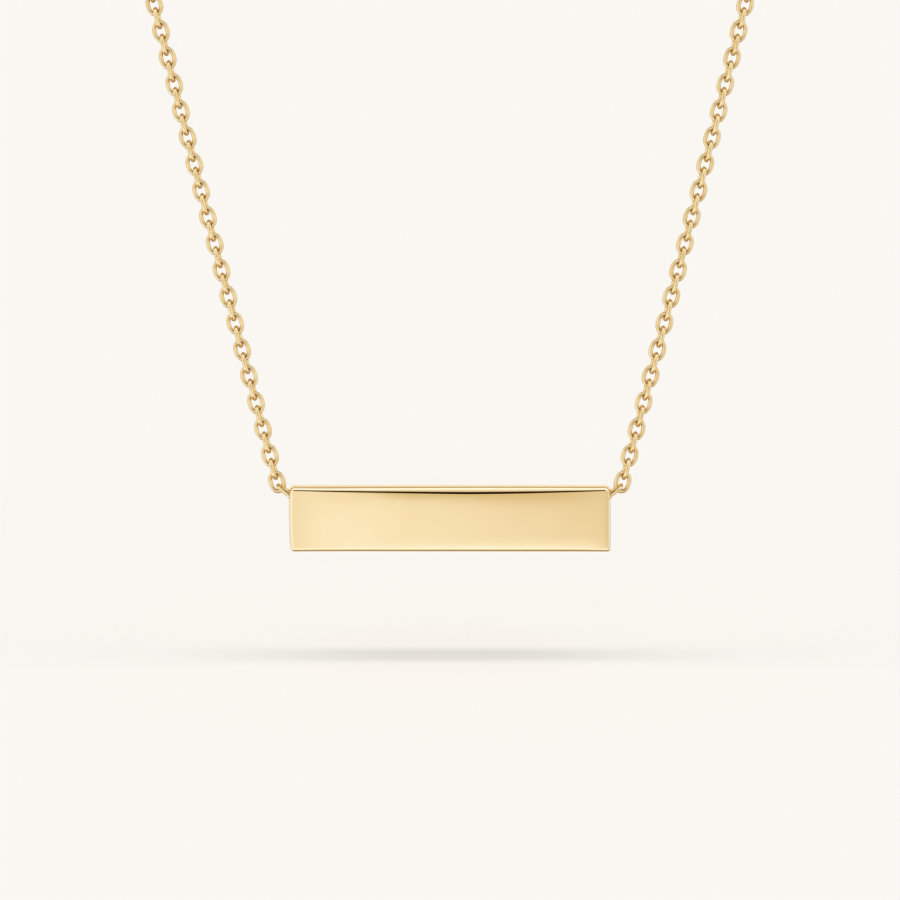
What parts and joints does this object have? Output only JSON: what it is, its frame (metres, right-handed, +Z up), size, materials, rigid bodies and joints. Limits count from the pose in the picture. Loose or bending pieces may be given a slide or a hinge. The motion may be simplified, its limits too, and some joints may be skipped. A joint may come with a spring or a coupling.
{
  "type": "bar pendant necklace",
  "caption": "Necklace with a flat horizontal bar hung by a loop at each end from fine cable chain, closed by a barrel clasp at the nape.",
  "frame": {"origin": "the point of the nape that the clasp lies against, at the middle of the barrel", "axes": "+Z up as worn, -Y the way the bar faces, +X towards the viewer's right"},
  "size_m": [0.0862, 0.0886, 0.1056],
  "materials": {
    "bar_gold": "polished",
    "chain_gold": "polished",
    "clasp_gold": "polished"
  },
  "bodies": {
    "necklace": {"chain_left": "chain_gold", "chain_right": "chain_gold", "clasp": "clasp_gold"},
    "pendant": {"bar": "bar_gold"}
  },
  "joints": [
    {"name": "bar_swing", "type": "hinge", "parent": "necklace", "child": "pendant", "pos_m": [0, -0.085, -0.09745], "axis": [1, 0, 0], "range_deg": [-30, 30]}
  ]
}
